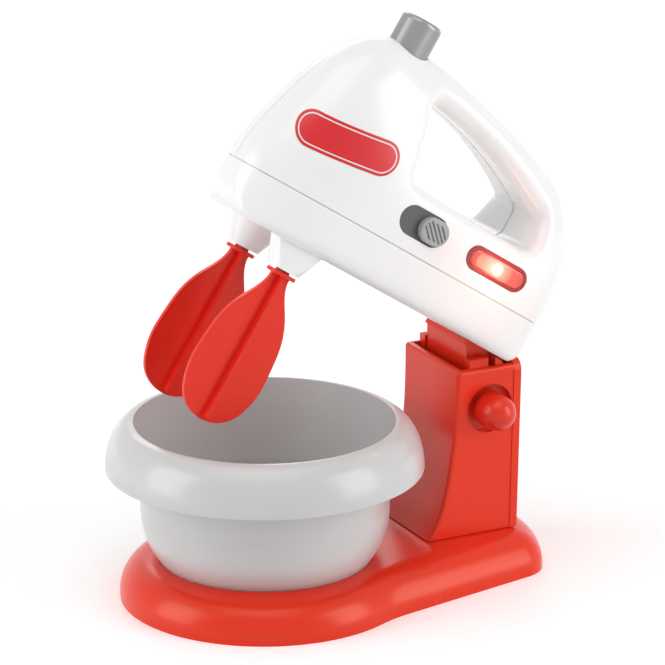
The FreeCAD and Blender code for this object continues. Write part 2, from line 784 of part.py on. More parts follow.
def make_upper(side, outer, hollow):
    """One upper half: side -1 is the photographed one, 1 the other."""
    near, far = sorted((0.0, side * (body_half + 5)))
    half = block(nose_u - 5, tail_u + 5, near, far, seam_w - 1, 120)
    body = hollow.common(half)
    extras = [block(-109, -84.5, near, far, shelf_w, shelf_w + shelf_t)]
    for u, w in cross_screw_places():
        extras.append(cross_rod(post_r if side < 0 else post_r + 1, u, w, near, far))
    for u, y in housing_screw_places():
        if y * side > 0:
            low, high = sorted((y, side * 40))
            extras.append(post(post_r, u, y, seam_w, upper_post_w))
            extras.append(block(u - 0.8, u + 0.8, low, high, seam_w + seam_groove, upper_post_w))
    if side < 0:
        extras += [stadium(switch_u, switch_w, switch_length + 8, switch_height + 7, -40, plate_flange_y),
                   stadium(lens_u, lens_w, lens_length + 6, lens_height + 6, -40, bezel_flange_y)]
        for w in board_pin_w:
            extras.append(cross_rod(1.8, board_pin_u, w, -40, -board_y - board_t))
            extras.append(cross_rod(0.9, board_pin_u, w, -40, -board_y + 0.6))
    body = body.fuse([extra.common(outer.common(half)) for extra in extras])
    body = body.cut(hole_prism(0, body_half + 5))
    holes = [post(top_button_r + 2 * fit_gap, top_button_u, 0, top_button_low, 120),
             post(flange_r + 2 * fit_gap, top_button_u, 0, shelf_w + shelf_t, top_button_low + flange_t)]
    for u, w in cross_screw_places():
        if side < 0:
            holes.append(cross_rod(screw_hole_r, u, w, -cross_bite - 1, 1))
        else:
            holes.append(cross_rod(screw_r + 0.2, u, w, -1, cross_head_y))
            holes.append(cross_rod(screw_head_r + 0.2, u, w, cross_head_y, 40))
    for u, y in housing_screw_places():
        holes.append(post(screw_hole_r, u, y, seam_w - 1, upper_post_w - 1))
    if side < 0:
        holes += window(switch_u, switch_w, switch_length, switch_height, 3.5, plate_flange_y)
        holes += window(lens_u, lens_w, lens_length, lens_height, 3.0, bezel_flange_y)
    return body.cut(holes).removeSplitter()


def window(u, w, length, height, flange, flange_y):
    """Opening for a plate from inside: its own outline, and room for its flange behind."""
    g = 2 * fit_gap
    inner_y = -26.0
    return [stadium(u, w, length + g, height + g, -40, inner_y),
            stadium(u, w, length + flange + g, height + 3 + g, flange_y, inner_y)]


def lower_outer():
    """Outer form of the lower housing with its flat belly."""
    return body_skin(False, 0).cut(body_slab(body_half + 5, 0, belly_w))


def nozzle_forms(outer):
    """The two beater nozzles: cones under the belly, flush with its edge where they would pass it."""
    belly = [f for f in outer.Faces if abs(f.CenterOfMass.z - belly_w) < 1e-6][0]
    under = belly.extrude(V(0, 0, 2 * nozzle_end_w - belly_w))
    return [Part.makeCone(nozzle_end_r, nozzle_top_r, belly_w - nozzle_end_w,
                          V(beater_u, side * beater_y, nozzle_end_w), UP).common(under)
            for side in (-1, 1)]


def plate_screw_places():
    return [(-90.0, side * 20.0) for side in (-1, 1)]


def plate_pin_places():
    return [(-121.0, side * 13.0) for side in (-1, 1)]


def make_lower_housing():
    outer = lower_outer()
    inner = body_skin(False, shell).cut(body_slab(body_half + 5, 0, floor_w))
    shaped = outer.fuse(nozzle_forms(outer))
    body = shaped.cut(inner)
    inside = [block(-76, -74.5, -40, 40, 8, partition_top), block(-20.5, -19, -40, 40, 8, partition_top),
              block(-85.5, -75.5, -door_half - 1, door_half + 1, 8, gear_low_w - 0.3),
              post(post_r, door_screw_u, 0, 9, 16), post(post_r, beater_u, 0, 8, gear_low_w - 0.4)]
    for side in (-1, 1):
        inside.append(post(7.0, beater_u, side * beater_y, 8, nozzle_boss_w))
    for u, y in housing_screw_places():
        inside.append(post(post_r + 1, u, y, 6, seam_w))
    for u, y in plate_screw_places() + plate_pin_places():
        inside.append(post(post_r, u, y, 8, plate_w))
    for u, y in plate_pin_places():
        inside.append(post(1.0, u, y, plate_w - 1, plate_w + plate_t + 0.4))
    front, rear = tongue_front - tongue_gap - 2, tongue_rear + tongue_gap + 2
    socket_half = tongue_half + tongue_gap + 2
    inside.append(block(front, rear, -socket_half, socket_half, 8, tongue_top + tongue_gap + 1.7))
    body = body.fuse([piece.common(shaped) for piece in inside])
    holes = [seam_cut(False),
             block(-84, -20.8, -door_half, door_half, 0, door_top + 0.1),
             block(-74.5, -20.8, -door_half, door_half, 0, floor_w + 3),
             post(4.15, door_screw_u, 0, 6, 9.4), post(screw_hole_r, door_screw_u, 0, 6, 15),
             post(1.0, beater_u, 0, belly_w + 1, 20),
             block(front + 2, rear - 2, -socket_half + 2, socket_half - 2, 0, tongue_top + tongue_gap)]
    for side in (-1, 1):
        holes.append(post(nozzle_bore_r, beater_u, side * beater_y, nozzle_end_w + 1, 16))
        holes.append(post(nozzle_bore_r - 1.1, beater_u, side * beater_y, nozzle_end_w - 1, 16))
        holes.append(block(-21, -19 + 0.2, side * 8 - 2.2, side * 8 + 2.2, 7.15, 8.55))
    for u, y in housing_screw_places():
        holes.append(post(screw_r + 0.2, u, y, 0, seam_w + 1))
        holes.append(post(screw_head_r + 0.2, u, y, 0, housing_head_w))
    for u, y in plate_screw_places():
        holes.append(post(screw_hole_r, u, y, plate_w - 9, plate_w + 1))
    return body.cut(holes).removeSplitter()


def make_housing_screws():
    length = upper_post_w - 1.2 - housing_head_w
    return [screw(u, y, housing_head_w, length) for u, y in housing_screw_places()]


def make_handle_screws():
    length = cross_head_y + cross_bite
    return [screw(u, cross_head_y, w, length, ACROSS * -1) for u, w in cross_screw_places()]


# Battery box, head frame


def battery_rod(side, radius):
    return rod(radius, V(battery_front, side * battery_y, battery_w), V(1, 0, 0), battery_length)


def make_battery_door():
    g = fit_gap
    plate = lower_outer().common(block(-84 + g, -20.8 - g, -door_half + g, door_half - g, 0, door_top))
    ribs = [block(u, u + 2, -14, 14, door_top - 0.5, 12) for u in (-62, -34)]
    tabs = [block(-22, -19, side * 8 - 2, side * 8 + 2, 7.3, door_top) for side in (-1, 1)]
    body = plate.fuse(ribs + tabs + [post(4.0, door_screw_u, 0, door_top - 0.5, 9.2)])
    body = body.cut([battery_rod(-1, battery_r + running_gap), battery_rod(1, battery_r + running_gap)])
    return body.cut([post(screw_r + 0.2, door_screw_u, 0, 0, 10),
                     post(screw_head_r + 0.2, door_screw_u, 0, 0, door_head_w)]).removeSplitter()


def make_battery_door_screw():
    return screw(door_screw_u, 0, door_head_w, 6.0)


def make_battery(side):
    """An AA cell; the left one points forward, the right one back."""
    nub, x0 = 1.0, battery_front
    body = rod(battery_r, V(x0 + (nub if side < 0 else 0), side * battery_y, battery_w), V(1, 0, 0),
               battery_length - nub)
    tip_x = x0 if side < 0 else x0 + battery_length - nub
    ends = [e for e in body.Edges if e.Length > 40 and e.Closed]
    body = body.makeFillet(0.8, ends)
    return body.fuse(rod(2.75, V(tip_x, side * battery_y, battery_w), V(1, 0, 0), nub))


def make_battery_contacts():
    front, rear = -74.5, -20.5
    near = block(front, front + contact_t, -14.5, 14.5, 10, 22.5)
    far = block(rear - contact_t, rear, -14.5, 14.5, 10, 22.5)
    reach = battery_front - front - contact_t
    for side in (-1, 1):
        spot = V(front + contact_t, side * battery_y, battery_w)
        near = near.fuse(Part.makeCone(3.2, 1.2, reach, spot, V(1, 0, 0)))
        tip = battery_front + battery_length
        far = far.fuse(rod(3.0, V(tip, side * battery_y, battery_w), V(1, 0, 0), rear - contact_t - tip))
    return [near, far]


# Drive, head frame


def tooth_half_angle(radius, pitch, teeth):
    """Half the angle a tooth fills at a radius, for involute flanks at 20 degrees."""
    def spread(angle):
        return math.tan(angle) - angle
    base = pitch * math.cos(math.radians(20))
    at = math.acos(base / radius) if radius > base else 0.0
    return math.pi / (2 * teeth) - 0.08 / pitch + spread(math.radians(20)) - spread(at)


def gear(teeth, module, u, y, w0, w1, phase):
    pitch = module * teeth / 2.0
    radii = (pitch - 1.2 * module, pitch, pitch + 0.5 * module, pitch + 0.95 * module)
    points = []
    for i in range(teeth):
        middle = phase + i * 2 * math.pi / teeth
        flank = [(r, tooth_half_angle(r, pitch, teeth)) for r in radii]
        for r, half in flank:
            points.append((r, middle - half))
        for r, half in reversed(flank):
            points.append((r, middle + half))
    face = polygon_face([V(u + r * math.cos(a), y + r * math.sin(a), w0) for r, a in points])
    return face.extrude(V(0, 0, w1 - w0))


def meshing_phase(way, phase, teeth, other_teeth):
    """Phase of the other gear, which lies in the direction way from the first one."""
    part = ((way - phase) * teeth / (2 * math.pi)) % 1
    return way + math.pi - (0.5 - part) * 2 * math.pi / other_teeth


def motor_u():
    return beater_u + drive_module * (large_teeth + pinion_teeth) / 2.0


def make_drive_gear():
    """Compound gear: the large one takes the motor's pinion, the upper one turns both spindles."""
    large = gear(large_teeth, drive_module, beater_u, 0, gear_low_w, gear_low_w + gear_t, 0)
    upper = gear(central_teeth, gear_module, beater_u, 0, upper_gear_w, upper_gear_w + gear_t, 0)
    hub = post(3.0, beater_u, 0, gear_low_w, upper_gear_w + gear_t)
    bore = post(1.0 + running_gap, beater_u, 0, 0, 40)
    return large.fuse([hub, upper]).cut(bore).removeSplitter()


def make_drive_axle():
    return post(1.0, beater_u, 0, belly_w + 1, plate_w + plate_t)


def make_motor_pinion():
    phase = meshing_phase(0.0, 0.0, large_teeth, pinion_teeth)
    body = gear(pinion_teeth, drive_module, motor_u(), 0, gear_low_w, gear_low_w + gear_t, phase)
    return body.cut(post(1.01, motor_u(), 0, 0, 40))


def make_motor_shaft():
    return post(1.0, motor_u(), 0, gear_low_w + 0.2, plate_w + plate_t + 3)


def make_motor():
    w0 = plate_w + plate_t
    can = post(motor_r, motor_u(), 0, w0, w0 + motor_length)
    can = can.common(block(motor_u() - motor_flat, motor_u() + motor_flat, -20, 20, w0, w0 + motor_length))
    can = can.fuse(post(3.0, motor_u(), 0, w0 - 1.4, w0))
    return can.cut(post(1.0 + running_gap, motor_u(), 0, 0, w0 + 3.5))


def hex_bar(flats, u, y, w0, w1):
    r = flats / math.sqrt(3)
    corners = [V(u + r * math.cos(math.radians(60 * i)), y + r * math.sin(math.radians(60 * i)), w0)
               for i in range(6)]
    return polygon_face(corners).extrude(V(0, 0, w1 - w0))


def make_spindle(side):
    """Hollow spindle that grips a beater's shank, with its gear and top pin."""
    y = side * beater_y
    low = nozzle_end_w + 1 + running_gap
    phase = meshing_phase(side * math.pi / 2, 0.0, central_teeth, spindle_teeth)
    teeth = gear(spindle_teeth, gear_module, beater_u, y, upper_gear_w, upper_gear_w + gear_t, phase)
    body = post(nozzle_bore_r - running_gap, beater_u, y, low, spindle_top_w)
    body = body.fuse([post(2.5, beater_u, y, spindle_top_w - 1, upper_gear_w + gear_t),
                      post(1.5, beater_u, y, upper_gear_w, plate_w + plate_t - 0.4)])
    body = body.cut(hex_bar(socket_flats, beater_u, y, low - 1, socket_top_w))
    return body.fuse(teeth)


def make_gearbox_plate():
    inner = body_skin(False, shell + 0.3)
    plate = block(-125, -78, -24, 24, plate_w, plate_w + plate_t).common(inner)
    tabs = [block(motor_u() - 4.5, motor_u() + 4.5, min(a, b), max(a, b), plate_w, plate_w + 12)
            for a, b in ((-motor_r - 1.6, -motor_r - 0.05), (motor_r + 0.05, motor_r + 1.6))]
    holes = [post(3.1, motor_u(), 0, 0, 40).common(body_slab(30, plate_w - 1, plate_w + plate_t + 0.5)),
             post(1.0, beater_u, 0, 0, 40)]
    for side in (-1, 1):
        holes.append(post(1.5 + running_gap, beater_u, side * beater_y, 0, 40))
    for u, y in plate_screw_places():
        holes.append(post(screw_r + 0.2, u, y, 0, 40))
    for u, y in plate_pin_places():
        holes.append(post(1.1, u, y, 0, 40))
    return plate.fuse(tabs).cut(holes).removeSplitter()


def make_gearbox_screws():
    return [screw(u, y, plate_w + plate_t, 8.0, UP * -1) for u, y in plate_screw_places()]


# Beaters, head frame


def leaf_outline():
    """Half widths of a beater's leaf from its neck down."""
    return [(-9.7, 4.6), (-20.7, 11.0), (-30.7, 15.4), (-41.7, leaf_half - 0.4), (-50.7, leaf_half),
            (-58.7, leaf_half - 1.6), (-65.2, leaf_half - 5.0)]


def make_beater(side):
    """A leaf with a thin rib across it, a collar and the shank that goes into the spindle."""
    y = side * beater_y
    edge = [V(half, 0, w) for w, half in leaf_outline()]
    around = [V(4.25, 0, -8.2)] + edge + [V(0, 0, leaf_low_w)] + [V(-p.x, 0, p.z) for p in reversed(edge)]
    around.append(V(-4.25, 0, -8.2))
    curve = Part.BSplineCurve()
    curve.interpolate(Points=around)
    disc_low = nozzle_end_w - disc_drop
    neck = Part.makePolygon([around[-1], V(-4.25, 0, disc_low), V(4.25, 0, disc_low), around[0]])
    face = Part.Face(Part.Wire([curve.toShape()] + neck.Edges))
    face.translate(V(beater_u, y - leaf_t / 2, 0))
    leaf = face.extrude(V(0, leaf_t, 0))
    rib = side_prism([(-leaf_t / 2, disc_low), (leaf_t / 2, disc_low), (leaf_t / 2, leaf_low_w + 1.6),
                      (-leaf_t / 2, leaf_low_w + 1.6)], -rib_reach, rib_reach)
    rib.translate(V(beater_u, y, 0))
    disc = post(collar_disc_r, beater_u, y, disc_low, disc_low + 1.5)
    shank = hex_bar(socket_flats - 2 * shank_gap, beater_u, y, disc_low + 1, socket_top_w - 1)
    return leaf.fuse([rib, disc, shank]).removeSplitter()


# Controls, head frame


def make_top_button():
    u = top_button_u
    body = post(top_button_r, u, 0, top_button_low, top_button_top)
    top = [e for e in body.Edges if e.Closed and e.CenterOfMass.z > top_button_top - 0.1]
    body = body.makeFillet(2.2, top)
    body = body.fuse(post(flange_r, u, 0, top_button_low, top_button_low + flange_t))
    body = body.cut(post(top_button_r - 1.5, u, 0, top_button_low - 1, top_button_top - 2))
    return body.fuse(post(2.5, u, 0, top_button_low, top_button_top - 1)).removeSplitter()


def make_button_leaf():
    """Arched strip that lifts the button and closes its contact."""
    u, w0, w1, t = top_button_u, shelf_w + shelf_t, top_button_low - 0.05, 0.4
    wire = Part.Wire([
        Part.Arc(V(u - 7, 0, w0), V(u, 0, w1), V(u + 7, 0, w0)).toShape(),
        Part.LineSegment(V(u + 7, 0, w0), V(u + 7 - t, 0, w0)).toShape(),
        Part.Arc(V(u + 7 - t, 0, w0), V(u, 0, w1 - t), V(u - 7 + t, 0, w0)).toShape(),
        Part.LineSegment(V(u - 7 + t, 0, w0), V(u - 7, 0, w0)).toShape(),
    ])
    face = Part.Face(wire)
    face.translate(V(0, -3, 0))
    return face.extrude(V(0, 6, 0))


def make_switch_plate():
    body = stadium(switch_u, switch_w, switch_length, switch_height, plate_face_y, plate_flange_y + 0.5)
    flange = stadium(switch_u, switch_w, switch_length + 3.5, switch_height + 3, plate_flange_y,
                     plate_flange_y + 1.3)
    slot_u = cap_u - switch_travel / 2.0
    slot = stadium(slot_u, switch_w, switch_travel + stem_length + 2 * fit_gap, stem_length + 2 * fit_gap,
                   -40, 0)
    return body.fuse(flange).cut(slot).removeSplitter()


def make_slide_switch():
    """Ribbed cap with its stem and the foot behind the plate."""
    cap = stadium(cap_u, switch_w, cap_length, cap_height, cap_face_y, plate_face_y - 0.25)
    rim = [e for e in cap.Edges if e.CenterOfMass.y < cap_face_y + 0.01]
    cap = cap.makeFillet(0.8, rim)
    field = stadium(cap_u, switch_w, cap_length - 2.2, cap_height - 2.2, cap_face_y - 1, cap_face_y + 0.7)
    lean, half = 3.8, 0.55
    for i in range(-2, 3):
        u = cap_u + i * 2.5
        groove = side_prism([(u + lean - half, switch_w - 3.4), (u + lean + half, switch_w - 3.4),
                             (u - lean + half, switch_w + 3.4), (u - lean - half, switch_w + 3.4)],
                            cap_face_y - 1, cap_face_y + 0.7)
        cap = cap.cut(groove.common(field))
    foot_y = plate_flange_y + 1.3 + 0.1
    stem = cross_rod(stem_length / 2.0, cap_u, switch_w, plate_face_y - 1, foot_y + 0.5)
    foot = stadium(cap_u, switch_w, 9.0, 7.0, foot_y, -board_y - board_t - 0.1)
    return cap.fuse([stem, foot]).removeSplitter()


def make_light_bezel():
    ring = stadium(lens_u, lens_w, lens_length, lens_height, bezel_face_y, bezel_flange_y + 0.3)
    flange = stadium(lens_u, lens_w, lens_length + 3, lens_height + 3, bezel_flange_y, bezel_flange_y + 0.8)
    hole = stadium(lens_u, lens_w, lens_length - 2.6, lens_height - 2.6, -40, 0)
    return ring.fuse(flange).cut(hole).removeSplitter()


def make_light_lens():
    back = bezel_flange_y + 0.8
    body = stadium(lens_u, lens_w, lens_length - 2.8, lens_height - 2.8, bezel_face_y - 0.5, back + 0.2)
    rim = [e for e in body.Edges if e.CenterOfMass.y < bezel_face_y - 0.49]
    body = body.makeFillet(0.9, rim)
    return body.fuse(stadium(lens_u, lens_w, lens_length, lens_height, back, back + 0.6)).removeSplitter()


def make_led():
    body = cross_rod(1.5, lens_u, lens_w, -board_y - board_t - 1.6, -board_y - board_t)
    tip = [e for e in body.Edges if e.Closed and e.CenterOfMass.y < -board_y - board_t - 1.5]
    return body.makeFillet(0.7, tip)


def make_circuit_board():
    board = block(-80, -14, -board_y - board_t, -board_y, 31.0, 43.5)
    return board.cut([cross_rod(0.95, board_pin_u, w, -40, 0) for w in board_pin_w])


def build():
    os.makedirs(PARTS, exist_ok=True)
    export("base", make_base())
    export("bowl", make_bowl())
    export("column", make_column())
    export("column_screws", *make_column_screws())
    export("pivot_axle", make_pivot_axle())
    export("tilt_button", make_tilt_button())
    export("latch_collar", make_latch_collar())
    export("tilt_button_spring", make_button_spring())
    outer, hollow = upper_form()
    heads = {
        "tilt_cradle": [make_cradle()],
        "housing_left": [make_upper(-1, outer, hollow)],
        "housing_right": [make_upper(1, outer, hollow)],
        "lower_housing": [make_lower_housing()],
        "housing_screws": make_housing_screws(),
        "handle_screws": make_handle_screws(),
        "battery_door": [make_battery_door()],
        "battery_door_screw": [make_battery_door_screw()],
        "battery_left": [make_battery(-1)],
        "battery_right": [make_battery(1)],
        "battery_contacts": make_battery_contacts(),
        "drive_gear": [make_drive_gear()],
        "drive_axle": [make_drive_axle()],
        "motor_pinion": [make_motor_pinion()],
        "motor_shaft": [make_motor_shaft()],
        "motor": [make_motor()],
        "spindle_left": [make_spindle(-1)],
        "spindle_right": [make_spindle(1)],
        "gearbox_plate": [make_gearbox_plate()],
        "gearbox_screws": make_gearbox_screws(),
        "beater_left": [make_beater(-1)],
        "beater_right": [make_beater(1)],
        "top_button": [make_top_button()],
        "button_leaf": [make_button_leaf()],
        "switch_plate": [make_switch_plate()],
        "slide_switch": [make_slide_switch()],
        "light_bezel": [make_light_bezel()],
        "light_lens": [make_light_lens()],
        "led": [make_led()],
        "circuit_board": [make_circuit_board()],
    }
    for name, shapes in heads.items():
        export(name, *[tilted(shape) for shape in shapes])


build()
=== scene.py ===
import math

import bpy
import bmesh
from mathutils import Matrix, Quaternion, Vector
from mathutils.bvhtree import BVHTree


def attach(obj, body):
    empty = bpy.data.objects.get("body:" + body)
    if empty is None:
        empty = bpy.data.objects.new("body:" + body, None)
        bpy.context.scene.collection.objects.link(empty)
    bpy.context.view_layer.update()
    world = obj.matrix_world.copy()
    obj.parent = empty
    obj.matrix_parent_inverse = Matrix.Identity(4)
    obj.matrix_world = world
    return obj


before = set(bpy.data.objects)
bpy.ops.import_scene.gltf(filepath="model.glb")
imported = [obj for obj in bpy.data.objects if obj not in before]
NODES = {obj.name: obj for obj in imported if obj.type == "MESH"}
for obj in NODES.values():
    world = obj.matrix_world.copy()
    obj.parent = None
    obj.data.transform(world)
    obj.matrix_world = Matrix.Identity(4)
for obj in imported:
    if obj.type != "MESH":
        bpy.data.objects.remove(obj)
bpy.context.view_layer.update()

# Lengths are in metres. These places are shared with the CAD source.
BOWL_X = -0.0357
BOWL_TO_PIVOT = 0.092
PIVOT_HEIGHT = 0.086
PIVOT = Vector((BOWL_X + BOWL_TO_PIVOT, 0.0, PIVOT_HEIGHT))
TILT = math.radians(33.0)

# The head frame leans with the mixer: u runs to its back, y to its right and w up
U_WAY = Vector((math.cos(TILT), 0.0, -math.sin(TILT)))
W_WAY = Vector((math.sin(TILT), 0.0, math.cos(TILT)))

# The lens and the lamp's glow, in the head frame
LENS_U, LENS_W = -0.0285, 0.0367
LENS_FACE_Y = -0.0305
LENS_REACH = 0.0145
GLOW_Y = -0.041
GLOW_POWER = 0.010
GLOW_RADIUS = 0.004
GLOW_COLOUR = (1.0, 0.25, 0.16)

# The print on the housing: its middle in the head frame, its turn and slope, and its size
PRINT_MIDDLE = (-0.1148, -0.029, 0.0495)
PRINT_TURN = math.radians(24.0)
PRINT_SLOPE = math.radians(-10.0)
PRINT_LENGTH, PRINT_HEIGHT = 0.0440, 0.0138
PRINT_LIFT, LAYER_STEP = 0.00012, 0.00007
LINE_INSET, LINE_WIDTH = 0.0011, 0.0005
PRINT_COLUMNS, PRINT_ROWS = 72, 16
CAST_DISTANCE = 0.1
WELD_DISTANCE = 1e-6

# The photograph's camera
FRAME_PIXELS = 665.0
FOCAL_PIXELS = 4000.0
SENSOR_WIDTH = 36.0
CAMERA_PLACE = (BOWL_X - 0.669, -1.3525, 0.597)
CAMERA_AIM = (BOWL_X + 0.0305, 0.0, 0.1056)
CLIP_NEAR, CLIP_FAR = 0.1, 50.0

# The floor glows where it shows as background: a share of full white near the object, all of it far off
FLOOR_HALF = 6.0
FLOOR_TONES = [(0.3, (0.93, 0.93, 0.93)), (0.7, (0.95, 0.95, 0.95))]
FADE_NEAR, FADE_FAR = 0.35, 1.3
NEAR_SHARE = 0.22

# The soft surroundings: height where they start, and their tone from there to the zenith
SKY_START = -0.2
SKY_TONES = [(0.0, (0.42, 0.42, 0.42)), (0.35, (0.20, 0.20, 0.202)), (1.0, (0.52, 0.52, 0.52))]

# Place, size and power of each soft light
LIGHTS_AIM = (0.0, 0.0, 0.12)
LIGHTS = {
    "key": ((-0.3, -0.4, 1.7), (1.3, 1.3), 7.0),
    "left": ((-1.5, 0.3, 0.6), (0.9, 1.3), 11.5),
    "right": ((1.1, -1.15, 0.6), (0.9, 1.3), 12.3),
    "back": ((0.5, 1.3, 1.0), (1.0, 0.5), 4.0),
}

# Colours and finishes
WHITE = (1.0, 1.0, 1.0)
WARM_SHINE = (1.0, 0.8, 0.62)
PLASTIC_IOR = 1.49
COAT_ROUGHNESS = 0.06
FINE_DEPTH = 0.0002
BRUSH_STRETCH = (1.0, 1.0, 12.0)
# The lamp's light across the lens, white in its middle and red at its ends; it is also painted into the
# lens's colour as a painted highlight
LENS_TONES = [
    (0.0, (1.0, 0.94, 0.90)),
    (0.10, (1.0, 0.70, 0.58)),
    (0.24, (0.86, 0.24, 0.17)),
    (0.55, (0.52, 0.06, 0.04)),
    (1.0, (0.32, 0.03, 0.02)),
]
BOARD_TONES = [
    (0.0, (0.03, 0.17, 0.06)),
    (0.42, (0.02, 0.12, 0.045)),
    (0.5, (0.06, 0.26, 0.09)),
]
PLASTICS = {
    "stand_red": dict(colour=(0.84, 0.032, 0.010), rough=0.26, vary=0.015, shine=0.45, tint=WARM_SHINE),
    "beater_red": dict(colour=(0.84, 0.028, 0.016), rough=0.30, vary=0.015, shine=0.4, tint=WARM_SHINE),
    "button_red": dict(colour=(0.74, 0.026, 0.012), rough=0.22, tint=WARM_SHINE),
    "housing_white": dict(colour=(0.93, 0.93, 0.925), rough=0.22, coat=0.15, vary=0.008, grain=0.05),
    "bowl_grey": dict(colour=(0.62, 0.62, 0.617), rough=0.30, coat=0.25, vary=0.008),
    "push_grey": dict(colour=(0.30, 0.305, 0.31), rough=0.26, coat=0.1, flake=0.45),
    "track_grey": dict(colour=(0.10, 0.10, 0.105), rough=0.38, grain=0.2),
    "cap_grey": dict(colour=(0.40, 0.405, 0.41), rough=0.36, grain=0.15),
    "bezel_red": dict(colour=(0.26, 0.012, 0.01), rough=0.25, coat=0.3),
    "acetal": dict(colour=(0.80, 0.79, 0.72), rough=0.35, grain=0.12),
    "inner_black": dict(colour=(0.03, 0.03, 0.032), rough=0.45, grain=0.2),
    "led_clear": dict(colour=(0.85, 0.30, 0.22), rough=0.12, coat=0.5),
    "cell_sleeve": dict(colour=(0.06, 0.07, 0.09), rough=0.25, coat=0.5),
}
METALS = {
    "steel": dict(colour=(0.56, 0.56, 0.57), rough=0.30),
    "spring_steel": dict(colour=(0.45, 0.45, 0.47), rough=0.35),
    "motor_can": dict(colour=(0.62, 0.62, 0.63), rough=0.38),
    "contact_nickel": dict(colour=(0.66, 0.65, 0.60), rough=0.30),
}

# The CAD nodes that each material dresses
LOOKS = {
    "stand_red": ["base", "column", "tilt_cradle"],
    "beater_red": ["beater_left", "beater_right"],
    "button_red": ["tilt_button"],
    "housing_white": ["housing_left", "housing_right", "lower_housing", "battery_door"],
    "bowl_grey": ["bowl"],
    "push_grey": ["top_button"],
    "track_grey": ["switch_plate"],
    "cap_grey": ["slide_switch"],
    "bezel_red": ["light_bezel"],
    "acetal": ["latch_collar", "drive_gear", "motor_pinion", "spindle_left", "spindle_right"],
    "inner_black": ["gearbox_plate"],
    "led_clear": ["led"],
    "cell_sleeve": ["battery_left", "battery_right"],
    "steel": ["column_screws", "housing_screws", "handle_screws", "battery_door_screw",
              "gearbox_screws", "pivot_axle", "drive_axle", "motor_shaft"],
    "spring_steel": ["tilt_button_spring", "button_leaf"],
    "motor_can": ["motor"],
    "contact_nickel": ["battery_contacts"],
    "lit_lens": ["light_lens"],
    "circuit": ["circuit_board"],
}


def head(u, y, w):
    """A point of the head frame, placed in the shared frame."""
    return PIVOT + U_WAY * u + Vector((0.0, y, 0.0)) + W_WAY * w


# Node helpers


def new_material(name):
    """A material with its node tree and its shader."""
    material = bpy.data.materials.new(name)
    material.use_nodes = True
    tree = material.node_tree
    shader = tree.nodes["Principled BSDF"]
    return material, tree, shader


def set_inputs(node, values):
    """Set constants on a node's sockets; values are found by the socket's name."""
    for socket, value in values.items():
        node.inputs[socket].default_value = value


def add_node(tree, kind, **settings):
    """A new node with its own settings, such as its operation."""
    node = tree.nodes.new(kind)
    for key, value in settings.items():
        setattr(node, key, value)
    return node


def place_coordinates(tree):
    """The place on the object, in metres."""
    return add_node(tree, "ShaderNodeTexCoord").outputs["Object"]


def noise(tree, where, scale, detail=2.0, roughness=0.5):
    node = add_node(tree, "ShaderNodeTexNoise")
    set_inputs(node, {"Scale": scale, "Detail": detail, "Roughness": roughness})
    tree.links.new(where, node.inputs["Vector"])
    return node.outputs["Fac"]


def ramp(tree, source, stops):
    """A colour ramp over a 0 to 1 value; stops are (place, colour)."""
    node = add_node(tree, "ShaderNodeValToRGB")
    tree.links.new(source, node.inputs["Fac"])
    elements = node.color_ramp.elements
    while len(elements) < len(stops):
        elements.new(0.5)
    for element, (place, colour) in zip(elements, stops):
        element.position = place
        element.color = (*colour, 1.0)
    return node.outputs["Color"]


def map_range(tree, source, ends):
    """Map a value from one range to another; ends name those that aren't 0 or 1."""
    node = add_node(tree, "ShaderNodeMapRange")
    set_inputs(node, ends)
    tree.links.new(source, node.inputs["Value"])
    return node.outputs["Result"]


def spread(tree, source, low, high):
    """Map a 0 to 1 value to a range."""
    return map_range(tree, source, {"To Min": low, "To Max": high})


def length_of(tree, vector):
    node = add_node(tree, "ShaderNodeVectorMath", operation="LENGTH")
    tree.links.new(vector, node.inputs[0])
    return node.outputs["Value"]


def joined(tree, operation, first, second):
    """One value made from two by a math node."""
    node = add_node(tree, "ShaderNodeMath", operation=operation)
    tree.links.new(first, node.inputs[0])
    tree.links.new(second, node.inputs[1])
    return node.outputs["Value"]


def bump(tree, shader, height, strength, depth):
    node = add_node(tree, "ShaderNodeBump")
    set_inputs(node, {"Strength": strength, "Distance": depth})
    tree.links.new(height, node.inputs["Height"])
    tree.links.new(node.outputs["Normal"], shader.inputs["Normal"])


def background_rays(tree):
    """1 for the rays that show the background: seen straight, in gloss, or through a clear part."""
    rays = add_node(tree, "ShaderNodeLightPath").outputs
    either = joined(tree, "MAXIMUM", rays["Is Camera Ray"], rays["Is Glossy Ray"])
    return joined(tree, "MAXIMUM", either, rays["Is Transmission Ray"])


# Materials


def scaled(colour, factor):
    return tuple(min(1.0, channel * factor) for channel in colour)


def moulded(name, colour, rough, coat=0.0, vary=0.02, grain=0.08, shine=0.5, tint=WHITE, flake=0.0):
    """Moulded plastic: faint flow marks in its colour, uneven polish and a fine grain."""
    material, tree, shader = new_material(name)
    where = place_coordinates(tree)
    flow_marks = noise(tree, where, scale=9.0, detail=3.0, roughness=0.55)
    tones = [(0.3, scaled(colour, 1 - vary)), (0.7, scaled(colour, 1 + vary))]
    tree.links.new(ramp(tree, flow_marks, tones), shader.inputs["Base Color"])
    polish = noise(tree, where, scale=60.0, detail=3.0, roughness=0.6)
    uneven = spread(tree, polish, low=rough * 0.85, high=rough * 1.15)
    tree.links.new(uneven, shader.inputs["Roughness"])
    pits = noise(tree, where, scale=1400.0, detail=2.0, roughness=0.6)
    bump(tree, shader, pits, strength=grain, depth=FINE_DEPTH)
    set_inputs(shader, {
        "Coat Weight": coat,
        "Coat Roughness": COAT_ROUGHNESS,
        "Specular IOR Level": shine,
        "Specular Tint": (*tint, 1.0),
        "Metallic": flake,
        "IOR": PLASTIC_IOR,
    })
    return material


